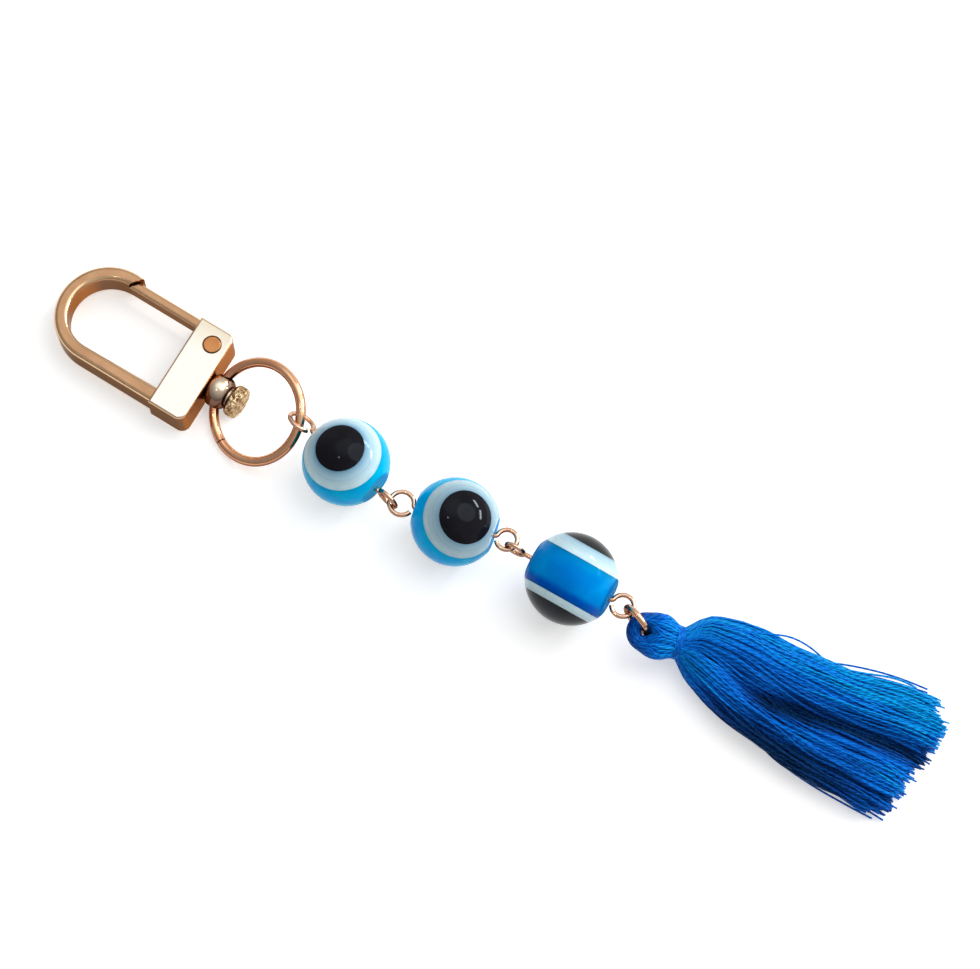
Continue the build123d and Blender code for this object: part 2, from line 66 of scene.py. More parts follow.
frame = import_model()
nodes = frame["nodes"]
joints = {joint["name"]: joint for joint in frame["joints"]}
random = np.random.default_rng(7)


def joint_place(name):
    return Vector(joints[name]["pos_m"])


def joint_axis(name):
    return Vector(joints[name]["axis"]).normalized()


def box_centre(node):
    low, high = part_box(node)
    return (low + high) / 2


def srgb(red, green, blue):
    """Linear colour of an sRGB colour written 0 to 255."""
    out = []
    for value in (red, green, blue):
        value /= 255
        out.append(value / 12.92 if value <= 0.04045 else ((value + 0.055) / 1.055) ** 2.4)
    return (*out, 1)


# ---------------------------------------------------------------- node helpers
class Nodes:
    """Short calls that add nodes to a node tree and return their outputs."""

    def __init__(self, tree):
        self.tree = tree

    def node(self, kind, **settings):
        node = self.tree.nodes.new("ShaderNode" + kind)
        for key, value in settings.items():
            setattr(node, key, value)
        return node

    def put(self, socket, value):
        """Links or sets an input socket."""
        if isinstance(value, bpy.types.NodeSocket):
            self.tree.links.new(value, socket)
        else:
            socket.default_value = value

    def place(self):
        """Position in the object's own space, which is the frame at rest."""
        return self.node("TexCoord").outputs["Object"]

    def split(self, vector):
        node = self.node("SeparateXYZ")
        self.put(node.inputs[0], vector)
        return node.outputs

    def math(self, operation, *values):
        node = self.node("Math", operation=operation)
        for socket, value in zip(node.inputs, values):
            self.put(socket, value)
        return node.outputs[0]

    def subtract(self, first, second):
        node = self.node("VectorMath", operation="SUBTRACT")
        self.put(node.inputs[0], first)
        self.put(node.inputs[1], second)
        return node.outputs["Vector"]

    def dot(self, first, second):
        node = self.node("VectorMath", operation="DOT_PRODUCT")
        self.put(node.inputs[0], first)
        self.put(node.inputs[1], second)
        return node.outputs["Value"]

    def noise(self, scale, detail=2, distortion=0):
        node = self.node("TexNoise")
        self.put(node.inputs["Vector"], self.place())
        for key, value in (("Scale", scale), ("Detail", detail), ("Distortion", distortion)):
            self.put(node.inputs[key], value)
        return node.outputs["Fac"]

    def cells(self, scale):
        node = self.node("TexVoronoi")
        self.put(node.inputs["Vector"], self.place())
        self.put(node.inputs["Scale"], scale)
        return node.outputs["Distance"]

    def span(self, value, low, high, to_low=0, to_high=1):
        node = self.node("MapRange")
        for key, number in (("Value", value), ("From Min", low), ("From Max", high),
                            ("To Min", to_low), ("To Max", to_high)):
            self.put(node.inputs[key], number)
        return node.outputs[0]

    def mix(self, factor, first, second, blend="MIX"):
        node = self.node("Mix", data_type="RGBA", blend_type=blend)
        for index, value in ((0, factor), (6, first), (7, second)):
            self.put(node.inputs[index], value)
        return node.outputs[2]

    def ramp(self, value, stops):
        node = self.node("ValToRGB")
        self.put(node.inputs[0], value)
        elements = node.color_ramp.elements
        while len(elements) < len(stops):
            elements.new(0.5)
        for element, (position, colour) in zip(elements, stops):
            element.position = position
            element.color = colour
        return node.outputs[0]

    def bump(self, height, distance, strength=1.0, normal=None):
        node = self.node("Bump")
        self.put(node.inputs["Height"], height)
        self.put(node.inputs["Distance"], distance)
        self.put(node.inputs["Strength"], strength)
        if normal is not None:
            self.put(node.inputs["Normal"], normal)
        return node.outputs[0]


class Shader(Nodes):
    """A material with a Principled shader."""

    def __init__(self, name):
        self.material = bpy.data.materials.new(name)
        self.material.use_nodes = True
        super().__init__(self.material.node_tree)
        self.principled = self.tree.nodes["Principled BSDF"]

    def set(self, **values):
        for key, value in values.items():
            self.put(self.principled.inputs[key.replace("_", " ")], value)


def dress(node, shader):
    """Gives a CAD node its material."""
    for slot in nodes[node].material_slots:
        slot.material = shader.material


# ---------------------------------------------------------------- metals
def gold(name, light, deep, side, roughness, ripple, painted_top_span=(0.45, 0.99), edge_highlight=None):
    """Plated metal with painted light and shade: paler on its upward faces, painted browner
    down its sides.

    An edge tone, where given, is a painted highlight along its rounded edges."""
    shader = Shader(name)
    shader.facing = shader.node("TexCoord").outputs["Normal"]
    shader.upward = shader.math("ABSOLUTE", shader.split(shader.facing)[2])
    drift = shader.span(shader.noise(300, detail=3), 0.35, 0.65)
    # painted light and shade: upward faces take the light tones, the sides the painted side
    # shade
    painted_top = shader.span(shader.upward, *painted_top_span)
    shader.tone = shader.mix(painted_top, side, shader.mix(drift, deep, light))
    # painted highlight on the rounded edges between the sides and the top
    if edge_highlight:
        past_side = shader.span(shader.upward, 0.2, 0.5)
        before_top = shader.span(shader.upward, 0.985, 0.9)
        rounded = shader.math("MULTIPLY", past_side, before_top)
        shader.tone = shader.mix(rounded, shader.tone, edge_highlight)
    shader.set(Base_Color=shader.tone)
    shader.set(Metallic=1.0, Specular_Tint=(0.52, 0.44, 0.38, 1))
    shader.set(Roughness=shader.span(shader.noise(1300, detail=4), 0.3, 0.7, *roughness))
    waves = shader.bump(shader.noise(650), ripple * MM)
    shader.set(Normal=shader.bump(shader.noise(4200), 0.0015 * MM, 0.6, waves))
    return shader


BAR_LIGHT = (0.58, 0.34, 0.19, 1)
BAR_DEEP = (0.50, 0.28, 0.15, 1)
# painted shade down the bars' sides, and a painted highlight along their rounded edges
SIDE_SHADE_BROWN = (0.25, 0.14, 0.09, 1)
EDGE_HIGHLIGHT_GOLD = (0.88, 0.58, 0.34, 1)
casting = gold("gold_casting", BAR_LIGHT, BAR_DEEP, SIDE_SHADE_BROWN, (0.16, 0.26), 0.02, edge_highlight=EDGE_HIGHLIGHT_GOLD)
lever = gold("gold_gate", BAR_LIGHT, BAR_DEEP, SIDE_SHADE_BROWN, (0.16, 0.26), 0.015, edge_highlight=EDGE_HIGHLIGHT_GOLD)
# per metal: light and deep tones for its upward faces, then the painted shade of its sides
swivel = gold("gold_swivel", (1.0, 0.84, 0.66, 1), (0.94, 0.70, 0.50, 1),
              (0.17, 0.09, 0.065, 1), (0.14, 0.26), 0.03, (0.55, 0.98))
wire = gold("rose_gold_wire", (0.96, 0.68, 0.50, 1), (0.88, 0.52, 0.34, 1),
            (0.36, 0.16, 0.09, 1), (0.12, 0.22), 0.012, (0.35, 0.9))
ring_gold = gold("ring_gold", (0.98, 0.56, 0.33, 1), (0.90, 0.45, 0.25, 1),
                 (0.32, 0.13, 0.07, 1), (0.12, 0.22), 0.015, (0.3, 0.8))
copper = gold("rivet_copper", (0.68, 0.31, 0.12, 1), (0.56, 0.23, 0.085, 1),
              (0.20, 0.08, 0.035, 1), (0.30, 0.44), 0.03, (0.6, 0.98))
steel = gold("spring_steel", (0.62, 0.58, 0.54, 1), (0.48, 0.44, 0.40, 1),
             (0.30, 0.27, 0.25, 1), (0.22, 0.34), 0.004)

swivel_place = joint_place("swivel_spin")
hook_axis = joint_axis("swivel_spin")
toward_gate = UP.cross(hook_axis)


def from_swivel(shader, direction):
    """Distance from the swivel joint, in the block's rear face, along a direction."""
    return shader.dot(shader.subtract(shader.place(), swivel_place), direction)


# the block's broad faces stand proud of the bar and carry a painted reflection, almost white
# with a cream tint towards the gate, and its rear face is painted a warm copper shade
REFLECTION_FACES_FROM = 2.25 * MM
PAINTED_REFLECTION_WHITE = (0.96, 0.91, 0.84, 1)
PAINTED_REFLECTION_CREAM = (0.78, 0.69, 0.53, 1)
REAR_SHADE_COPPER = (0.50, 0.20, 0.08, 1)
rise = casting.math("ABSOLUTE", from_swivel(casting, UP))
painted_faces = casting.span(rise, REFLECTION_FACES_FROM, REFLECTION_FACES_FROM + 0.1 * MM)
painted_faces = casting.math("MULTIPLY", painted_faces, casting.span(casting.upward, 0.9, 0.99))
cream = casting.span(from_swivel(casting, toward_gate), 2.5 * MM, 7.5 * MM)
face = casting.mix(cream, PAINTED_REFLECTION_WHITE, PAINTED_REFLECTION_CREAM)
rear = casting.span(casting.dot(casting.facing, hook_axis), 0.7, 0.95)
tone = casting.mix(rear, casting.tone, REAR_SHADE_COPPER)
casting.set(Base_Color=casting.mix(painted_faces, tone, face))

# the swivel's knob is rough: grains stand out of it, with painted shade in the pits between
# them
KNOB_FROM = 3.7 * MM
GRAIN_SCALE = 1500
PIT_SHADE = (0.30, 0.16, 0.07, 1)
GRAIN_TOP = (0.92, 0.70, 0.42, 1)
knob = swivel.span(from_swivel(swivel, hook_axis), KNOB_FROM, KNOB_FROM + 0.25 * MM)
fine_grain = swivel.math("MULTIPLY", swivel.noise(3200), 0.5)
grain = swivel.math("ADD", swivel.cells(GRAIN_SCALE), fine_grain)
swivel.set(Normal=swivel.bump(swivel.math("MULTIPLY", grain, knob), 0.45 * MM))
# painted shade in the pits, lighter grain tops
pit_shaded = swivel.mix(swivel.span(swivel.cells(GRAIN_SCALE), 0.25, 0.75), PIT_SHADE, GRAIN_TOP)
swivel.set(Base_Color=swivel.mix(knob, swivel.tone, pit_shaded))

for name, metal in (("hook_body", casting), ("gate_lever", lever), ("gate_rivet", copper),
                    ("gate_spring", steel), ("swivel_eye", swivel), ("key_ring", ring_gold),
                    ("jump_ring", wire), ("eye_pin_1", wire), ("eye_pin_2", wire),
                    ("eye_pin_3", wire)):
    dress(name, metal)


# ---------------------------------------------------------------- beads
# per bead: the blue, its darker swirls, and how much painted shade deepens one side of it
BLUES = {
    "bead_1": (srgb(0, 202, 255), srgb(0, 174, 252), 0.0),
    "bead_2": (srgb(0, 190, 255), srgb(0, 158, 248), 0.0),
    "bead_3": (srgb(0, 156, 230), srgb(0, 128, 212), 0.9),
}
# per bead: what the white and pale layers let through of red, green and blue
CLEAR = {
    "bead_1": (0.72, 0.92, 1.0, 1),
    "bead_2": (0.56, 0.72, 0.79, 1),
    "bead_3": (0.72, 0.89, 0.95, 1),
}
EDGE_SHADE_BLUE = srgb(0, 78, 190)
SHADED_EDGE_SPAN = (-2.1, -1.3)    # mm from the middle plane, over which the painted shade on one side deepens
END_DEPTH = 0.6             # how much of the swirls' colour the ground ends keep
END_FROM = 5.35             # mm along the pin, where the ground ends start
POLISHED = 0.07             # roughness of the polished resin
GROUND = 0.65               # and of its ground ends
# mm from the middle plane: the pale layers' rings run from the white out to the pupil
RINGS_SPAN = (3.5, 5.0)
RINGS = [
    (0.00, srgb(240, 248, 250)), (0.14, srgb(224, 236, 240)), (0.34, srgb(212, 225, 232)),
    (0.42, srgb(196, 211, 220)), (0.50, srgb(206, 220, 228)), (0.72, srgb(182, 201, 213)),
    (0.90, srgb(152, 180, 197)), (1.00, srgb(108, 144, 170)),
]


def resin(name, reach, index):
    """Glossy cast resin in which light spreads over a distance in millimetres."""
    shader = Shader(name)
    shader.set(Roughness=POLISHED, IOR=index, Subsurface_Scale=reach * MM)
    shader.set(Normal=shader.bump(shader.noise(500, detail=1), 0.006 * MM))
    return shader


def eye_axis(bead):
    """Centre of a bead and the direction through the middles of its two eyes."""
    points = np.array([v.co for v in nodes[f"{bead}_pupils"].data.vertices])
    centre = np.array(joint_place(f"{bead}_spin"))
    points = points - centre
    toward = points[np.argmax(points[:, 2])]
    front = points[points @ toward > 0].mean(axis=0)
    back = points[points @ toward < 0].mean(axis=0)
    return Vector(centre), Vector(front - back).normalized()


def depth(shader, centre, direction):
    """Distance in millimetres from a bead's middle along a direction."""
    offset = shader.subtract(shader.place(), centre)
    return shader.math("DIVIDE", shader.dot(offset, direction), MM)


def core_resin(bead, centre, axis):
    """Swirled blue middle, painted darker on one side as shade, ground dull at the ends where
    the pin runs out.
    """
    blue, swirled, deep = BLUES[bead]
    core = resin(f"{bead}_blue", 3.5, 1.15)
    swirl = core.noise(180, detail=3, distortion=0.8)
    tint = core.mix(core.span(swirl, 0.35, 0.68), swirled, blue)
    # painted shade: one side of the blue darkens towards a deeper blue
    edge = core.span(depth(core, centre, axis), *SHADED_EDGE_SPAN, deep, 0)
    tint = core.mix(edge, tint, EDGE_SHADE_BLUE)
    along_pin = core.math("ABSOLUTE", depth(core, centre, joint_axis(f"{bead}_spin")))
    end = core.span(along_pin, END_FROM, END_FROM + 0.2)
    end_colour = tuple(END_DEPTH * channel for channel in swirled[:3]) + (1,)
    core.set(Base_Color=core.mix(end, tint, end_colour))
    core.set(Roughness=core.span(end, 0, 1, POLISHED, GROUND))
    core.set(Subsurface_Weight=0.9, Subsurface_Radius=(0.3, 0.8, 1.2))
    core.set(Specular_Tint=(0.15, 0.65, 1.0, 1))
    return core


def white_resin(bead):
    """Faintly cloudy white."""
    white = resin(f"{bead}_white", 0.8, 1.3)
    cloud = white.span(white.noise(900), 0.3, 0.7)
    milk = white.mix(cloud, srgb(222, 238, 246), srgb(246, 252, 255))
    white.set(Base_Color=white.mix(1.0, milk, CLEAR[bead], blend="MULTIPLY"))
    white.set(Specular_Tint=(0.70, 0.88, 0.97, 1))
    white.set(Subsurface_Weight=0.3, Subsurface_Radius=(0.8, 1.0, 1.1))
    return white


def pale_resin(bead, centre, axis):
    """Pale rings about the eye's axis, uneven as poured layers are."""
    pale = resin(f"{bead}_pale", 0.8, 1.3)
    level = pale.math("ABSOLUTE", depth(pale, centre, axis))
    level = pale.math("ADD", level, pale.span(pale.noise(700), 0, 1, -0.05, 0.05))
    rings = pale.ramp(pale.span(level, *RINGS_SPAN), RINGS)
    pale.set(Base_Color=pale.mix(1.0, rings, CLEAR[bead], blend="MULTIPLY"))
    pale.set(Specular_Tint=(0.70, 0.88, 0.97, 1))
    pale.set(Subsurface_Weight=0.3, Subsurface_Radius=(0.7, 1.0, 1.2))
    return pale


def pupil_resin(bead):
    """Black with a trace of smoke."""
    pupil = resin(f"{bead}_pupil", 0.1, 1.25)
    smoke = pupil.span(pupil.noise(350, detail=3), 0.3, 0.7)
    pupil.set(Base_Color=pupil.mix(smoke, srgb(14, 12, 17), srgb(26, 23, 29)))
    pupil.set(Specular_Tint=(0.70, 0.86, 0.95, 1))
    return pupil


for bead in BLUES:
    centre, axis = eye_axis(bead)
    dress(f"{bead}_core", core_resin(bead, centre, axis))
    dress(f"{bead}_white_layers", white_resin(bead))
    dress(f"{bead}_pale_layers", pale_resin(bead, centre, axis))
    dress(f"{bead}_pupils", pupil_resin(bead))


# ---------------------------------------------------------------- thread material
PLY_PITCH = 1.1             # mm along the thread for the twist's turn
PLY_STARTS = 2              # grooves side by side round the thread
DYE_AND_SHADE = [                     # from threads in deep shade to those in full light
    (0.0, srgb(0, 26, 84)), (0.25, srgb(0, 70, 170)), (0.6, srgb(0, 128, 244)),
    (1.0, srgb(0, 178, 255)),
]
GROOVE_SHADE = (0.20, 0.28, 0.42, 1)
OCCLUSION_SHADE_BLUE = (0, 0.01, 0.07, 1)


def thread_material(name):
    """Plied thread: v runs along it in millimetres and u once around it."""
    shader = Shader(name)
    around, length, _ = shader.split(shader.node("UVMap", uv_map="thread").outputs[0])
    turns = shader.math("ADD", shader.math("DIVIDE", length, PLY_PITCH),
                        shader.math("MULTIPLY", around, PLY_STARTS))
    ply = shader.math("SINE", shader.math("MULTIPLY", turns, 2 * math.pi))
    ply = shader.span(ply, -1, 1)
    fibre = shader.noise(9000)

    # the per-point value, painted light and shade plus a random spread from thread to thread,
    # picks the colour
    dye_and_shade = shader.ramp(shader.node("Attribute", attribute_name="strand_shade").outputs["Fac"], DYE_AND_SHADE)
    # painted shade along the twist's groove lines
    groove_shade = shader.ramp(ply, [(0, GROOVE_SHADE), (0.5, (1, 1, 1, 1))])
    colour = shader.mix(1.0, dye_and_shade, groove_shade, blend="MULTIPLY")
    # random fibres mixed towards the fully lit colour, as painted glints
    colour = shader.mix(shader.span(fibre, 0.5, 0.8, 0, 0.25), colour, DYE_AND_SHADE[-1][1])
    # painted shade: darker blue where the occlusion node finds threads close around
    occlusion = shader.node("AmbientOcclusion", samples=8, only_local=True)
    shader.put(occlusion.inputs["Distance"], 1.6 * MM)
    open_sky = shader.span(occlusion.outputs["AO"], 0.03, 0.45)
    shaded = shader.mix(0.62, colour, OCCLUSION_SHADE_BLUE)
    shader.set(Base_Color=shader.mix(open_sky, shaded, colour))

    shader.set(Roughness=0.5, Specular_IOR_Level=0.22, Specular_Tint=(0.30, 0.70, 1.0, 1))
    shader.set(Sheen_Weight=0.12, Sheen_Roughness=0.4, Sheen_Tint=srgb(40, 150, 255))
    height = shader.math("ADD", ply, shader.math("MULTIPLY", fibre, 0.4))
    shader.set(Normal=shader.bump(height, 0.07 * MM))
    return shader


thread = thread_material("tassel_thread")


# ---------------------------------------------------------------- curve helpers
def grown(value, start, full):
    """0 up to the start, then evenly up to 1 where the value is full."""
    return np.clip((value - start) / (full - start), 0, 1)


def bell(value, middle, width):
    """1 at the middle, falling smoothly to nothing on both sides."""
    return np.exp(-(((value - middle) / width) ** 2))


def along_points(points, at):
    """Value at a position on straight lines through (position, value) points."""
    positions, values = zip(*points)
    return np.interp(at, positions, values)


def smooth_between(keys, values, at):
    """Cubic through the key values, with slopes taken from their neighbours."""
    keys = np.asarray(keys, float)
    values = np.asarray(values, float)
    slopes = np.gradient(values, keys, axis=0)
    at = np.clip(at, keys[0], keys[-1])
    i = np.clip(np.searchsorted(keys, at) - 1, 0, len(keys) - 2)
    width = keys[i + 1] - keys[i]
    t = (at - keys[i]) / width
    if values.ndim > 1:
        t, width = t[..., None], width[..., None]
    start, end = values[i], values[i + 1]
    return (start * (1 + 2 * t) * (1 - t) ** 2 + end * t * t * (3 - 2 * t)
            + slopes[i] * width * t * (1 - t) ** 2 - slopes[i + 1] * width * t * t * (1 - t))


def packed(count, exponent):
    """Places of threads in a round bundle of radius 1, even at an exponent of a half.

    A smaller exponent crowds them towards the bundle's surface."""
    number = np.arange(count)
    turn = np.pi * (3 - math.sqrt(5))
    radius = ((number + 0.5) / count) ** exponent
    return radius * np.cos(number * turn), radius * np.sin(number * turn)


def wander(count, points, reach, waves):
    """Slow sideways drift for each thread, zero at its start."""
    t = np.linspace(0, 1, points)
    out = np.zeros((count, points))
    for wave in range(1, waves + 1):
        phase = random.random((count, 1)) * 2 * np.pi
        out += np.sin(2 * np.pi * wave * 0.7 * t + phase) / wave
    return out * reach * grown(t, 0, 0.25)


# ---------------------------------------------------------------- thread meshes
START_SPREAD = 5            # mm, how far the twists of two threads can be out of step
DYE_SPREAD = 0.09           # how much the dye varies from thread to thread


def tubes(paths, radii, sides, reference):
    """Vertices and faces of a closed tube along each path."""
    count, points = paths.shape[:2]
    tangent = np.gradient(paths, axis=1)
    tangent /= np.linalg.norm(tangent, axis=2, keepdims=True)
    side = np.cross(np.asarray(reference, float), tangent)
    side /= np.linalg.norm(side, axis=2, keepdims=True)
    other = np.cross(tangent, side)
    angle = 2 * np.pi * np.arange(sides)[:, None] / sides
    ring = side[:, :, None] * np.cos(angle) + other[:, :, None] * np.sin(angle)
    vertices = paths[:, :, None] + ring * radii[:, :, None, None]
    index = np.arange(count * points * sides).reshape(count, points, sides)
    ahead = np.roll(index, -1, axis=2)
    quads = np.stack([index[:, :-1], ahead[:, :-1], ahead[:, 1:], index[:, 1:]], axis=-1)
    faces = quads.reshape(-1, 4).tolist()
    faces += index[:, 0, ::-1].tolist() + index[:, -1].tolist()
    return vertices.reshape(-1, 3), faces


def tube_uv(paths, sides):
    """u once around each tube, v along it in millimetres; the caps stay at zero."""
    count, points = paths.shape[:2]
    step = np.linalg.norm(np.diff(paths, axis=1), axis=2)
    run = np.concatenate([np.zeros((count, 1)), np.cumsum(step, axis=1)], axis=1) / MM
    run += random.random((count, 1)) * START_SPREAD
    u0 = np.broadcast_to(np.arange(sides) / sides, (count, points - 1, sides))
    u1 = u0 + 1 / sides
    v0 = np.broadcast_to(run[:, :-1, None], u0.shape)
    v1 = np.broadcast_to(run[:, 1:, None], u0.shape)
    corners = [np.stack([u, v], -1) for u, v in ((u0, v0), (u1, v0), (u1, v1), (u0, v1))]
    caps = np.zeros((count * sides * 2, 2))
    return np.concatenate([np.stack(corners, axis=-2).reshape(-1, 2), caps])


def thread_mesh(name, paths, radii, sides, reference, shade):
    """One mesh of closed tubes along paths of equal point counts, in metres.

    Each tube's sides start from the reference direction, which no path runs along.
    The shade, from 0 to 1 at each point, is painted light and shade there, with a random
    spread from thread to thread added."""
    count, points = paths.shape[:2]
    vertices, faces = tubes(paths, radii, sides, reference)
    mesh = bpy.data.meshes.new(name)
    mesh.from_pydata(vertices, [], faces)
    mesh.polygons.foreach_set("use_smooth", [True] * len(mesh.polygons))
    layer = mesh.uv_layers.new(name="thread")
    layer.data.foreach_set("uv", tube_uv(paths, sides).ravel())
    strand_shade = mesh.attributes.new("strand_shade", "FLOAT", "POINT")
    shade = np.broadcast_to(shade, (count, points)) + random.normal(0, DYE_SPREAD, (count, 1))
    strand_shade.data.foreach_set("value", np.repeat(np.clip(shade, 0, 1).ravel(), sides))
    mesh.materials.append(thread.material)
    mesh.validate()
    piece = bpy.data.objects.new(name, mesh)
    bpy.context.collection.objects.link(piece)
    return piece


# ---------------------------------------------------------------- tassel layout
NECK_LENGTH = 1.2 * MM
NECK_RADIUS = 2.2 * MM
fold = joint_place("tassel_swing")
fold_up = joint_axis("tassel_swing")
wrap_centre = box_centre("tassel_neck_wrap")
tassel_out = (wrap_centre - fold).normalized()
tassel_side = fold_up.cross(tassel_out).normalized()
neck_end = wrap_centre + tassel_out * NECK_LENGTH / 2

# ---------------------------------------------------------------- skirt threads
SKIRT_THREADS = 880
SKIRT_POINTS = 38
SKIRT_THREAD_RADIUS = 0.155 * MM
SKIRT_PACKING = 0.38
# from the neck in mm: distance, shift along Y, half width, height of the middle, half height
SKIRT = np.array([
    (-1.1, -0.27, 1.95, 4.09, 1.95),
    (0.0, 0.0, 2.15, 3.78, 2.15),
    (1.6, 0.75, 4.0, 3.15, 2.6),
    (5.0, 0.9, 5.45, 2.85, 2.65),
    (13.0, 0.3, 6.9, 2.7, 2.55),
    (21.0, 0.1, 7.8, 2.6, 2.45),
    (29.0, 0.9, 8.8, 2.5, 2.35),
    (37.0, 1.2, 9.5, 2.4, 2.25),
])
# share of a thread's radius at shares of its length
SKIRT_TAPER = [(0, 0.55), (0.06, 0.6), (0.2, 1), (0.97, 1), (1, 0.75)]
SKIRT_LENGTH = 34.6         # mm from the neck, before the cut below
LENGTH_LIMITS = (28.5, 36.2)
LENGTH_SPREAD = 0.55        # mm, from thread to thread
# place across the skirt and mm added to its length: longest a quarter of the way in
# from the +Y side, then slanting back to -Y
CUT = [(-1, -2.9), (-0.8, -1.1), (-0.3, -0.9), (0.15, 0.2), (0.5, 0.9), (0.7, -0.3),
       (0.85, -2), (1, -4)]
# path as (distance, place across the skirt), width, depth, where it starts and is full
VALLEYS = [
    ([(8, -0.31), (12, -0.29), (15, -0.22), (18.5, -0.1), (22, -0.02), (25, 0.03)],
     0.23, 0.86, 5, 15),
    ([(0, 0.50)], 0.07, 0.35, 15, 27),
    ([(0, -0.72)], 0.08, 0.30, 8, 20),
    ([(0, 0.78)], 0.05, 0.30, 9, 22),
]
RIDGE = [(8, -0.60), (18, -0.50), (25, -0.28)]     # where painted light falls on a ridge beside the deep valley
CLEAR_OF_TABLE = 0.03       # mm under the lowest threads


def cut_lengths(spread):
    """Length of each thread from the neck in mm, with small tufts in the cut."""
    tufts = 0.6 * np.sin(spread * 23 + 1.0) + 0.45 * np.sin(spread * 51)
    length = SKIRT_LENGTH + along_points(CUT, spread) + tufts
    length = length + random.normal(0, LENGTH_SPREAD, len(spread))
    return np.clip(length, *LENGTH_LIMITS)


def skirt_shade(distance, p, q, fall):
    """Painted light and shade at a distance, a place across (p) and a place up (q).

    The fall is 1 where the skirt is full and less in its valleys."""
    # painted shade in the valleys
    shade = 0.62 - 1.3 * (1 - fall) * grown(np.abs(q), 1.45, 0.45)
    # painted light towards +Y, most of all near the cut, and painted shade towards -Y
    shade += 0.12 * grown(p, 0.1, 0.6)
    shade += 0.4 * grown(distance, 12, 26) * grown(p, 0.3, 0.7)
    shade -= 0.16 * grown(p, 0.1, -0.3) * grown(distance, 8, 14)
    # painted light on a ridge beside the deep valley, and on the ends
    shade += 0.14 * bell(p, along_points(RIDGE, distance), 0.13)
    shade += 0.18 * grown(distance, 28, 33)
    # painted shade on a flank short of the last third, and along the -Y side
    flank = bell(p, 0.3, 0.3) * grown(distance, 4, 8) * grown(distance, 24, 18)
    shade -= 0.13 * flank
    side = grown(p, -0.58, -0.88) * grown(distance, 3, 8)
    shade -= 0.48 * side * (1 - 0.6 * grown(distance, 21, 31))
    return shade


def skirt_paths(spread, lift, length):
    """Paths and shades of threads at places (spread, lift) in the bundle, each -1 to 1."""
    t = np.linspace(0, 1, SKIRT_POINTS) ** 0.9
    first = SKIRT[0, 0]
    distance = first + (length[:, None] - first) * t
    profile = smooth_between(SKIRT[:, 0], SKIRT[:, 1:], distance)
    shift, half, middle, tall = np.moveaxis(profile, -1, 0)
    p = np.broadcast_to(spread[:, None], distance.shape)
    q = np.broadcast_to(lift[:, None], distance.shape)
    fall = np.ones_like(distance)
    pull = np.zeros_like(distance)
    for path, width, depth_share, start, full in VALLEYS:
        place = along_points(path, distance)
        near = bell(p, place, width) * grown(distance, start, full)
        fall -= depth_share * near
        pull += np.sign(p - place) * near * width * 0.12
    p = p + pull
    across = p * half + wander(len(spread), SKIRT_POINTS, 0.4, 4)
    height = q * tall * fall + wander(len(spread), SKIRT_POINTS, 0.2, 4)
    # the threads leave the tilted neck and turn level within 3 mm
    level = grown(distance, 0, 3)[..., None]
    upward = np.asarray(UP) * level + np.asarray(fold_up) * (1 - level)
    sideways = np.array([0, 1, 0]) * level + np.asarray(tassel_side) * (1 - level)
    out = distance * np.where(distance < 0, tassel_out.x, 1)
    base = np.stack([neck_end.x / MM + out, neck_end.y / MM + shift, middle], axis=-1)
    paths = base + sideways * across[..., None] + upward * height[..., None]
    lowest = SKIRT_THREAD_RADIUS / MM + CLEAR_OF_TABLE
    low = paths[..., 2]
    paths[..., 2] = np.where(low < lowest, lowest + 0.02 * random.random(low.shape), low)
    return paths * MM, skirt_shade(distance, p, q, fall)


spread, lift = packed(SKIRT_THREADS, SKIRT_PACKING)
skirt_lines, skirt_shades = skirt_paths(spread, lift, cut_lengths(spread))
taper = along_points(SKIRT_TAPER, np.linspace(0, 1, SKIRT_POINTS))
skirt_radii = np.full((SKIRT_THREADS, SKIRT_POINTS), SKIRT_THREAD_RADIUS) * taper
for half in (0, 1):
    skirt = thread_mesh(f"tassel_skirt_threads_{half + 1}", skirt_lines[half::2],
                        skirt_radii[half::2], 5, UP, skirt_shades[half::2])
    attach(skirt, "tassel")
    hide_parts("tassel_skirt")

# ---------------------------------------------------------------- loose threads
LOOSE_POINTS = 60
LOOSE_THREAD_RADIUS = SKIRT_THREAD_RADIUS * 0.9
# from the neck in mm: distance, sideways, height above the table
LOOSE = [
    [(4.5, 4.6, 4.7), (7.6, 5.9, 4.3), (10, 7.1, 3.6), (12.2, 8.2, 2.7), (14.6, 8.5, 2.1),
     (17, 8.1, 1.8), (19.5, 7.2, 1.8)],
    [(15, 6.0, 3.0), (17.5, 7.3, 2.4), (21, 8.9, 1.7), (25, 10.2, 1.2), (28.4, 10.9, 0.9),
     (31.4, 11.3, 0.6)],
    [(16, 5.6, 2.8), (19, 7.2, 2.2), (23, 8.7, 1.4), (27, 9.9, 0.9), (31.6, 10.9, 0.5)],
    [(16, 5.2, 3.0), (21, 6.9, 2.2), (25, 8.1, 1.4), (29, 9.5, 0.8), (32.6, 10.4, 0.5)],
    [(14, -6.2, 1.6), (19, -7.3, 1.0), (24, -7.8, 0.5), (29, -7.9, 0.25), (32.8, -7.9, 0.25)],
    [(16, -6.0, 1.4), (21, -7.1, 0.8), (26, -7.3, 0.3), (31, -7.2, 0.25), (34.2, -7.4, 0.25)],
]
loose = []
for points in LOOSE:
    keys = np.linspace(0, 1, len(points))
    line = smooth_between(keys, points, np.linspace(0, 1, LOOSE_POINTS))
    loose.append(line + np.array([neck_end.x, neck_end.y, 0]) / MM)
strays = thread_mesh("tassel_loose_threads", np.array(loose) * MM,
                     np.full((len(LOOSE), LOOSE_POINTS), LOOSE_THREAD_RADIUS), 6, UP, 0.5)
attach(strays, "tassel")

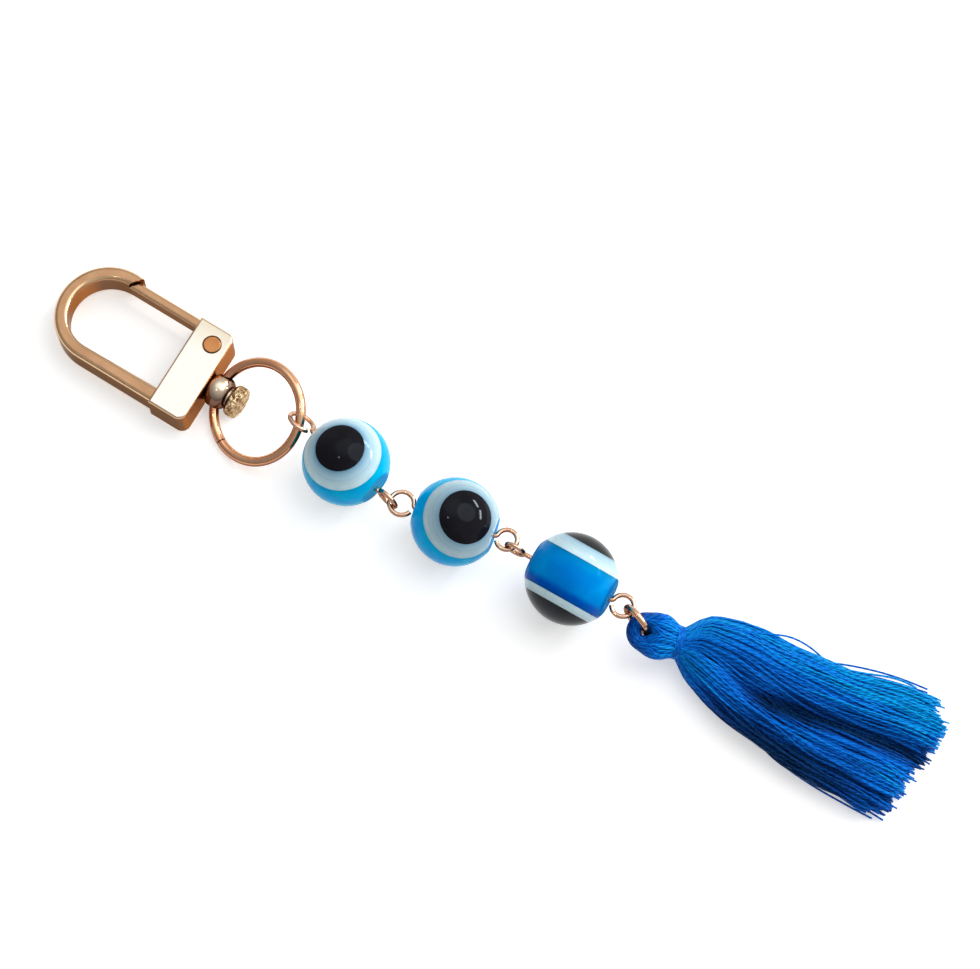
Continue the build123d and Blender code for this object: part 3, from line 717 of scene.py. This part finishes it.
# ---------------------------------------------------------------- head threads
HEAD_THREADS = 220
HEAD_THREAD_RADIUS = 0.17 * MM
HEAD_PACKING = 0.4
HEAD_LEG_POINTS = 21
HEAD_ARC_POINTS = 16
HEAD_POINTS = 2 * HEAD_LEG_POINTS + HEAD_ARC_POINTS
FOLD_RADIUS = 1.65          # mm, of the turn round the jump ring
FOLD_BUNDLE = 0.88          # mm, half the thickness of the threads there
# from the ring in mm: distance, inner and outer edge of one leg, half height
LEGS = np.array([
    (0.0, 0.70, 2.58, 0.95),
    (0.6, 0.20, 2.80, 1.45),
    (1.2, -0.25, 2.95, 1.95),
    (1.9, -0.30, 3.00, 2.15),
    (2.8, -0.30, 2.80, 2.2),
    (3.8, -0.20, 2.25, 2.05),
    (5.2, -0.10, 1.95, 1.95),
])
# from the fold (0) to the neck (1): darkest where the threads turn round the ring
HEAD_SHADE = [(0, 0.26), (0.25, 0.34), (0.6, 0.70), (1, 0.70)]


def head_paths():
    """Threads that run up one leg, round the jump ring and down the other leg."""
    distance = np.linspace(LEGS[-1, 0], 0, HEAD_LEG_POINTS + 1)[:-1]
    inner, outer, tall = smooth_between(LEGS[:, 0], LEGS[:, 1:], distance).T
    apart = grown(distance, 0, 2)
    sweep = np.linspace(0, np.pi, HEAD_ARC_POINTS)
    paths = []
    for a, b in zip(*packed(HEAD_THREADS, HEAD_PACKING)):
        chord = np.sqrt(max(1 - b * b, 0.04))
        share = np.clip((a / chord + 1) / 2, 0, 1) * apart + (a + 1) / 2 * (1 - apart)
        off = inner + (outer - inner) * share
        # away from the fold the two legs close up into one round bundle
        bulge = np.sqrt(np.clip(1 - (off / (outer + 0.25)) ** 2, 0.12, 1))
        up = b * tall * (bulge * apart + (1 - apart))
        leg = np.stack([distance, off, up], axis=1)
        radius = FOLD_RADIUS + a * FOLD_BUNDLE
        arc = np.stack([-radius * np.sin(sweep), radius * np.cos(sweep),
                        np.full(HEAD_ARC_POINTS, b * FOLD_BUNDLE)], axis=1)
        other_leg = leg[::-1] * np.array([1, -1, 1])
        paths.append(np.concatenate([leg, arc, other_leg]))
    paths = np.array(paths) + random.normal(0, 0.03, (HEAD_THREADS, 1, 3))
    for _ in range(2):
        paths[:, 1:-1] = (paths[:, :-2] + 2 * paths[:, 1:-1] + paths[:, 2:]) / 4
    basis = np.array([tassel_out, tassel_side, fold_up])
    return np.array(fold) + paths @ basis * MM


from_fold = np.abs(np.linspace(-1, 1, HEAD_POINTS))
head = thread_mesh("tassel_head_threads", head_paths(),
                   np.full((HEAD_THREADS, HEAD_POINTS), HEAD_THREAD_RADIUS), 6, fold_up,
                   along_points(HEAD_SHADE, from_fold))
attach(head, "tassel")
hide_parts("tassel_head")

# ---------------------------------------------------------------- neck wrap
WRAP_TURNS = 6
WRAP_POINTS = 300
WRAP_THREAD_RADIUS = 0.13 * MM
# per thread: mm out from the neck's radius, starting angle, mm along the neck
WRAP_LAYERS = ((-0.06, 0.4, 0.95), (-0.02, 2.3, 0.70))


def wrap_path(layer, out, phase, span):
    """A thread wound round the neck, wavering a little as it goes."""
    turns = np.linspace(0, WRAP_TURNS * 2 * np.pi, WRAP_POINTS)
    reach = NECK_RADIUS + out * MM + 0.03 * MM * np.sin(3 * turns + layer)
    shift = np.linspace(-span / 2, span / 2, WRAP_POINTS) * MM
    shift = shift + 0.04 * MM * np.sin(turns * 1.3 + layer)
    return (np.array(wrap_centre)
            + np.outer(shift, tassel_out)
            + np.outer(reach * np.cos(turns + phase), tassel_side)
            + np.outer(reach * np.sin(turns + phase), fold_up))


runs = np.array([wrap_path(layer, *values) for layer, values in enumerate(WRAP_LAYERS)])
wrap = thread_mesh("tassel_neck_thread", runs,
                   np.full((len(runs), WRAP_POINTS), WRAP_THREAD_RADIUS), 6, tassel_out, 0.6)
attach(wrap, "tassel")
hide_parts("tassel_neck_wrap")

# ---------------------------------------------------------------- floor
FLOOR_SIZE = 1.6
FLOOR_DROP = 0.02 * MM      # below the pieces that rest on it
FLOOR_GREY = 0.88
GLOW = 0.43                 # lifts the floor to white where it is seen or mirrored


def floor_material():
    """Matt white whose glow the camera and reflections see, but not the diffuse light."""
    table = Shader("table_white")
    table.set(Base_Color=(FLOOR_GREY, FLOOR_GREY, FLOOR_GREY, 1))
    table.set(Roughness=0.9, Specular_IOR_Level=0.1)
    rays = table.node("LightPath").outputs
    seen = table.math("MAXIMUM", rays["Is Camera Ray"], rays["Is Glossy Ray"])
    seen = table.math("MAXIMUM", seen, rays["Is Transmission Ray"])
    glow = table.node("Emission")
    table.put(glow.inputs["Color"], (1, 1, 0.985, 1))
    table.put(glow.inputs["Strength"], table.math("MULTIPLY", seen, GLOW))
    both = table.node("AddShader")
    table.put(both.inputs[0], table.principled.outputs[0])
    table.put(both.inputs[1], glow.outputs[0])
    table.put(table.tree.nodes["Material Output"].inputs[0], both.outputs[0])
    return table.material


bpy.ops.mesh.primitive_plane_add(size=FLOOR_SIZE, location=(0, 0, -FLOOR_DROP))
floor = bpy.context.object
floor.name = "floor"
floor.data.materials.append(floor_material())

# ---------------------------------------------------------------- lamps
AIM_OFFSET = Vector((1.50, 6.91, 0)) * MM
# what the camera looks at and the lamps face, beside the middle bead
aim = joint_place("bead_2_spin") + AIM_OFFSET


def softbox(name, toward, distance, size, radiance, shape="RECTANGLE"):
    """Area light seen from the aim point in a direction, with a given brightness."""
    lamp = bpy.data.lights.new(name, "AREA")
    lamp.shape = shape
    lamp.size, lamp.size_y = size
    area = size[0] * size[1] * (math.pi / 4 if shape == "ELLIPSE" else 1)
    lamp.energy = radiance * math.pi * area
    light = bpy.data.objects.new(name, lamp)
    bpy.context.collection.objects.link(light)
    toward = Vector(toward).normalized()
    light.location = aim + toward * distance
    light.rotation_euler = toward.to_track_quat("Z", "Y").to_euler()


softbox("window", (0.362, 0.345, 0.866), 1.2, (1.05, 1.05), 1.4, "ELLIPSE")
softbox("window_side", (0.72, 0.56, 0.36), 1.15, (0.40, 0.10), 32.0)
softbox("window_top", (0.38, 0.80, 0.42), 1.15, (0.36, 0.10), 32.0)
softbox("bulb", (-0.19, -0.26, 0.93), 1.0, (0.06, 0.06), 24.0, "ELLIPSE")

# ---------------------------------------------------------------- room
BRIGHT_SIDE = (0.57, 0.66, 0.47)
CEILING = (-0.166, 0.299, 0.940)
CEILING_EDGE = (0.88, 0.985)
CEILING_LIGHT = (1.15, 1.15, 1.13, 1)

world = bpy.data.worlds.new("room")
bpy.context.scene.world = world
world.use_nodes = True
room = Nodes(world.node_tree)
direction = room.node("TexCoord").outputs["Generated"]
walls = room.ramp(room.span(room.dot(direction, BRIGHT_SIDE), -1, 1), [
    (0.0, (0.22, 0.21, 0.21, 1)), (0.35, (0.33, 0.32, 0.32, 1)),
    (0.62, (0.50, 0.50, 0.50, 1)), (1.0, (0.70, 0.70, 0.70, 1)),
])
# a bright patch of ceiling, which the flat tops of the clasp mirror
patch = room.span(room.dot(direction, CEILING), *CEILING_EDGE)
room.put(room.tree.nodes["Background"].inputs["Color"], room.mix(patch, walls, CEILING_LIGHT))

# ---------------------------------------------------------------- camera
CAMERA_RIGHT = Vector((0.8738, 0.4863, 0))
CAMERA_BACK = Vector((0.1663, -0.2988, 0.9397))
CAMERA_DISTANCE = 0.4
LENS = 109.47
camera_data = bpy.data.cameras.new("camera")
camera_data.lens = LENS
camera_data.sensor_width = 36
camera_data.clip_start = 0.01
camera = bpy.data.objects.new("camera", camera_data)
bpy.context.collection.objects.link(camera)
back = CAMERA_BACK.normalized()
right = CAMERA_RIGHT.normalized()
rotation = Matrix((right, back.cross(right), back)).transposed()
camera.matrix_world = Matrix.Translation(aim + back * CAMERA_DISTANCE) @ rotation.to_4x4()
bpy.context.scene.camera = camera
bpy.context.scene.view_settings.view_transform = "Standard"
